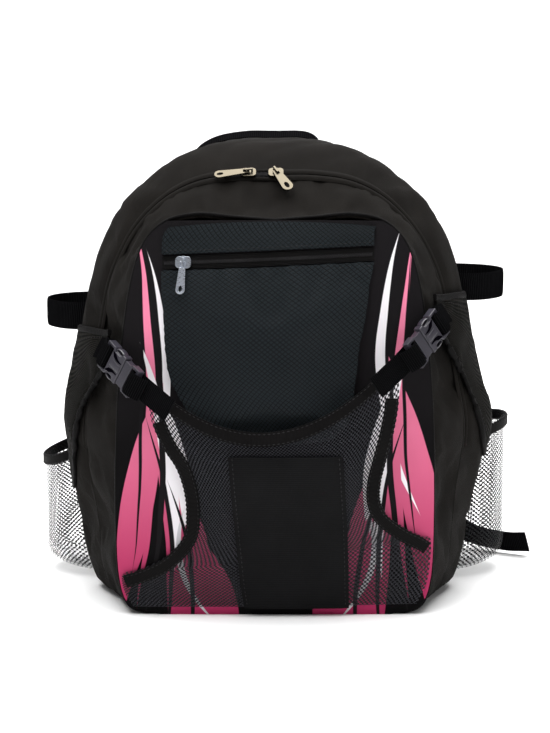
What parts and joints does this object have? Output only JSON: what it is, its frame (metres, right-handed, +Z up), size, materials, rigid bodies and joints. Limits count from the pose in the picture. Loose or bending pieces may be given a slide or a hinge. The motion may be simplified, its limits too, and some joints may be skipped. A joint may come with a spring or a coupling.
{
  "type": "bat backpack",
  "caption": "Arched youth sports backpack with a zipped padded pocket, a buckled mesh holder, side bat pockets and bat loops",
  "frame": {"origin": "on the floor under the flat base, below the middle of the zipper's width and 85 mm ahead of the back gusset's edge", "axes": "the front faces -Y, +X is to the right seen from the front, +Z is up from the base"},
  "size_m": [0.4171, 0.2676, 0.3696],
  "materials": {
    "fabric": "matt woven polyester, warm black",
    "printed_panel": "woven polyester printed with pink and white blades on black",
    "textured_cloth": "embossed diamond texture, blue-black, slight sheen",
    "mesh": "open knitted net, black",
    "webbing": "black webbing and binding tape",
    "plastic": "satin dark grey acetal",
    "metal": "polished pale nickel"
  },
  "bodies": {
    "bag": {"back_panel": "fabric", "rear_body": "fabric", "front_body": "fabric", "front_panel": "printed_panel", "main_zipper": "webbing", "zip_slider_left": "metal", "zip_slider_right": "metal", "front_pocket": "textured_cloth", "pocket_zipper": "webbing", "pocket_top_strip": "textured_cloth", "pocket_slider": "metal", "mesh_holder": "mesh", "mesh_top_binding": "webbing", "mesh_side_binding_left": "webbing", "mesh_side_binding_right": "webbing", "centre_strip": "webbing", "side_wing_left": "fabric", "side_wing_right": "fabric", "haul_handle": "webbing", "buckle_socket_left": "plastic", "buckle_plug_left": "plastic", "buckle_webbing_left": "webbing", "holder_webbing_left": "webbing", "bat_pocket_left": "mesh", "bat_pocket_binding_left": "webbing", "bat_loop_left": "webbing", "shoulder_strap_left": "fabric", "strap_adjuster_left": "plastic", "strap_webbing_left": "webbing", "strap_tail_left": "webbing", "buckle_socket_right": "plastic", "buckle_plug_right": "plastic", "buckle_webbing_right": "webbing", "holder_webbing_right": "webbing", "bat_pocket_right": "mesh", "bat_pocket_binding_right": "webbing", "bat_loop_right": "webbing", "shoulder_strap_right": "fabric", "strap_adjuster_right": "plastic", "strap_webbing_right": "webbing", "strap_tail_right": "webbing"},
    "pull_tab_left": {"pull_tab_left": "metal"},
    "pull_tab_right": {"pull_tab_right": "metal"},
    "pull_tab_pocket": {"pull_tab_pocket": "metal"}
  },
  "joints": [
    {"name": "left_tab_lift", "type": "hinge", "parent": "bag", "child": "pull_tab_left", "pos_m": [-0.0207, -0.03541, 0.34297], "axis": [-0.1183, 0.7692, 0.628], "range_deg": [0, 110]},
    {"name": "right_tab_lift", "type": "hinge", "parent": "bag", "child": "pull_tab_right", "pos_m": [0.00076, -0.0355, 0.34295], "axis": [-0.8776, -0.364, -0.312], "range_deg": [0, 110]},
    {"name": "pocket_tab_lift", "type": "hinge", "parent": "bag", "child": "pull_tab_pocket", "pos_m": [-0.0703, -0.08958, 0.27758], "axis": [-0.9915, 0.12, 0.0511], "range_deg": [0, 110]}
  ]
}
